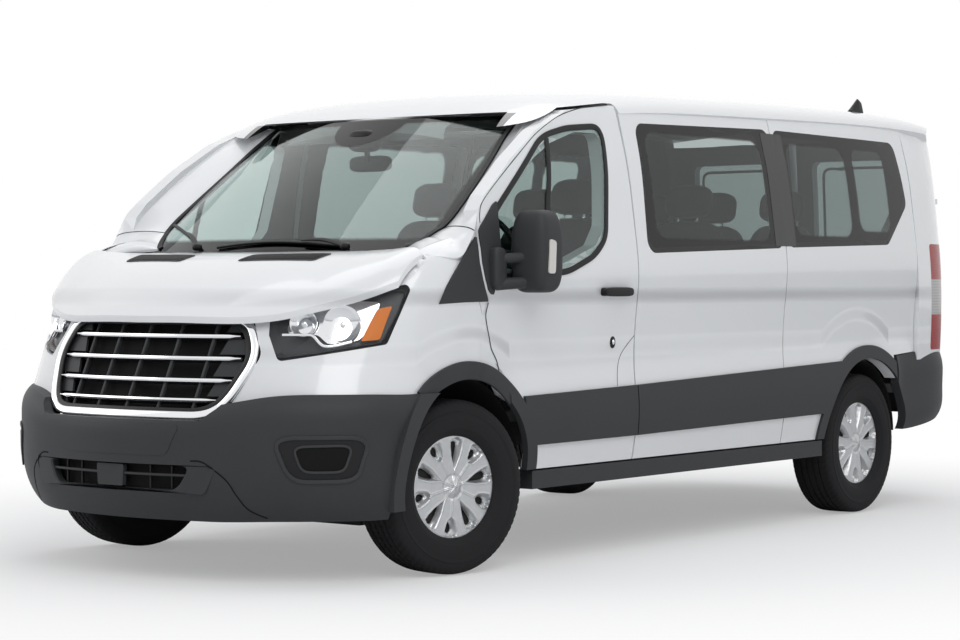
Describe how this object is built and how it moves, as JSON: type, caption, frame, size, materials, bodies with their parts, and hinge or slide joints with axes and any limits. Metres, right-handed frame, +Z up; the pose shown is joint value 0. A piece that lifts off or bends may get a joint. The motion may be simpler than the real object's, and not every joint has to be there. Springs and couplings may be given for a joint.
{
  "type": "passenger minibus",
  "caption": "Low-roofed passenger minibus with hinged front doors, a closed sliding side door, twin rear doors, a lifting hood, steered front wheels and two bench rows.",
  "frame": {"origin": "on the ground, under the middle of the whole box", "axes": "+X the vehicle's left, -Y its front, +Z up"},
  "size_m": [2.4202, 5.5523, 2.0892],
  "materials": {
    "paint": "gloss white paint",
    "glass": "clear, faintly green",
    "dark_glass": "privacy tint",
    "lamp": "clear lens",
    "red_lamp": "red lens",
    "chrome": "polished",
    "trim": "grained dark grey",
    "tyre": "matte",
    "wheel_cover": "silver paint",
    "seat_cloth": "woven",
    "frame_steel": "black primer",
    "cast": "rough"
  },
  "bodies": {
    "body": {"bench_seats": "seat_cloth", "body_cladding": "trim", "chassis_frame": "frame_steel", "cowl": "trim", "dashboard": "trim", "driver_seat": "seat_cloth", "engine": "cast", "fenders": "paint", "floor_panel": "frame_steel", "front_bumper": "trim", "fuel_tank": "trim", "grille": "chrome", "headlamps": "lamp", "passenger_seat": "seat_cloth", "radiator": "trim", "rear_axle": "cast", "rear_bumper": "trim", "rear_corners": "paint", "rear_quarter_left": "paint", "rear_quarter_right": "paint", "roof_panel": "paint", "side_glass": "dark_glass", "side_panel_left": "paint", "sliding_door_right": "paint", "tail_lamps": "red_lamp", "windscreen": "glass", "windscreen_pillars": "paint"},
    "hood": {"hood": "paint"},
    "front_door_left": {"front_door_left": "paint", "front_door_glass_left": "glass", "door_moulding_left": "trim", "mirror_left": "trim"},
    "front_door_right": {"front_door_right": "paint", "front_door_glass_right": "glass", "door_moulding_right": "trim", "mirror_right": "trim"},
    "rear_door_left": {"rear_door_left": "paint", "rear_door_glass_left": "dark_glass"},
    "rear_door_right": {"rear_door_right": "paint", "rear_door_glass_right": "dark_glass"},
    "steering_wheel": {"steering_wheel": "trim"},
    "knuckle_left": {"knuckle_left": "cast"},
    "knuckle_right": {"knuckle_right": "cast"},
    "wheel_front_left": {"tyre_front_left": "tyre", "wheel_front_left": "wheel_cover"},
    "wheel_front_right": {"tyre_front_right": "tyre", "wheel_front_right": "wheel_cover"},
    "wheel_rear_left": {"tyre_rear_left": "tyre", "wheel_rear_left": "wheel_cover"},
    "wheel_rear_right": {"tyre_rear_right": "tyre", "wheel_rear_right": "wheel_cover"}
  },
  "joints": [
    {"name": "steer_left", "type": "hinge", "parent": "body", "child": "knuckle_left", "pos_m": [0.774, -1.775, 0.352], "axis": [0, 0, 1], "range_deg": [-22, 46]},
    {"name": "steer_right", "type": "hinge", "parent": "body", "child": "knuckle_right", "pos_m": [-0.774, -1.775, 0.352], "axis": [0, 0, 1], "range_deg": [-22, 46]},
    {"name": "steering_wheel_turn", "type": "hinge", "parent": "body", "child": "steering_wheel", "pos_m": [0.412, -0.9104, 1.32715], "axis": [0, 0.848, 0.5299], "range_deg": [-330, 690]},
    {"name": "spin_front_left", "type": "hinge", "parent": "knuckle_left", "child": "wheel_front_left", "pos_m": [0.86399, -1.79413, 0.352], "axis": [0.9781, -0.2079, 0], "continuous": true},
    {"name": "spin_front_right", "type": "hinge", "parent": "knuckle_right", "child": "wheel_front_right", "pos_m": [-0.86399, -1.75587, 0.352], "axis": [0.9781, -0.2079, 0], "continuous": true},
    {"name": "spin_rear_left", "type": "hinge", "parent": "body", "child": "wheel_rear_left", "pos_m": [0.8715, 1.525, 0.352], "axis": [1, 0, 0], "continuous": true},
    {"name": "spin_rear_right", "type": "hinge", "parent": "body", "child": "wheel_rear_right", "pos_m": [-0.8715, 1.525, 0.352], "axis": [1, 0, 0], "continuous": true},
    {"name": "front_door_left_swing", "type": "hinge", "parent": "body", "child": "front_door_left", "pos_m": [1.01, -1.673, 0.9], "axis": [0, 0, -1], "range_deg": [0, 68]},
    {"name": "front_door_right_swing", "type": "hinge", "parent": "body", "child": "front_door_right", "pos_m": [-1.01, -1.673, 0.9], "axis": [0, 0, 1], "range_deg": [0, 68]},
    {"name": "rear_door_left_swing", "type": "hinge", "parent": "body", "child": "rear_door_left", "pos_m": [0.8131, 2.625, 1.3], "axis": [0, 0, -1], "range_deg": [0, 170]},
    {"name": "rear_door_right_swing", "type": "hinge", "parent": "body", "child": "rear_door_right", "pos_m": [-0.8131, 2.625, 1.3], "axis": [0, 0, 1], "range_deg": [0, 170]},
    {"name": "hood_lift", "type": "hinge", "parent": "body", "child": "hood", "pos_m": [0, -1.895, 1.2801], "axis": [-1, 0, 0], "range_deg": [0, 48]}
  ],
  "couplings": [
    {"joint": "steer_right", "follows": "steer_left", "ratio": 1},
    {"joint": "steering_wheel_turn", "follows": "steer_left", "ratio": 15}
  ]
}
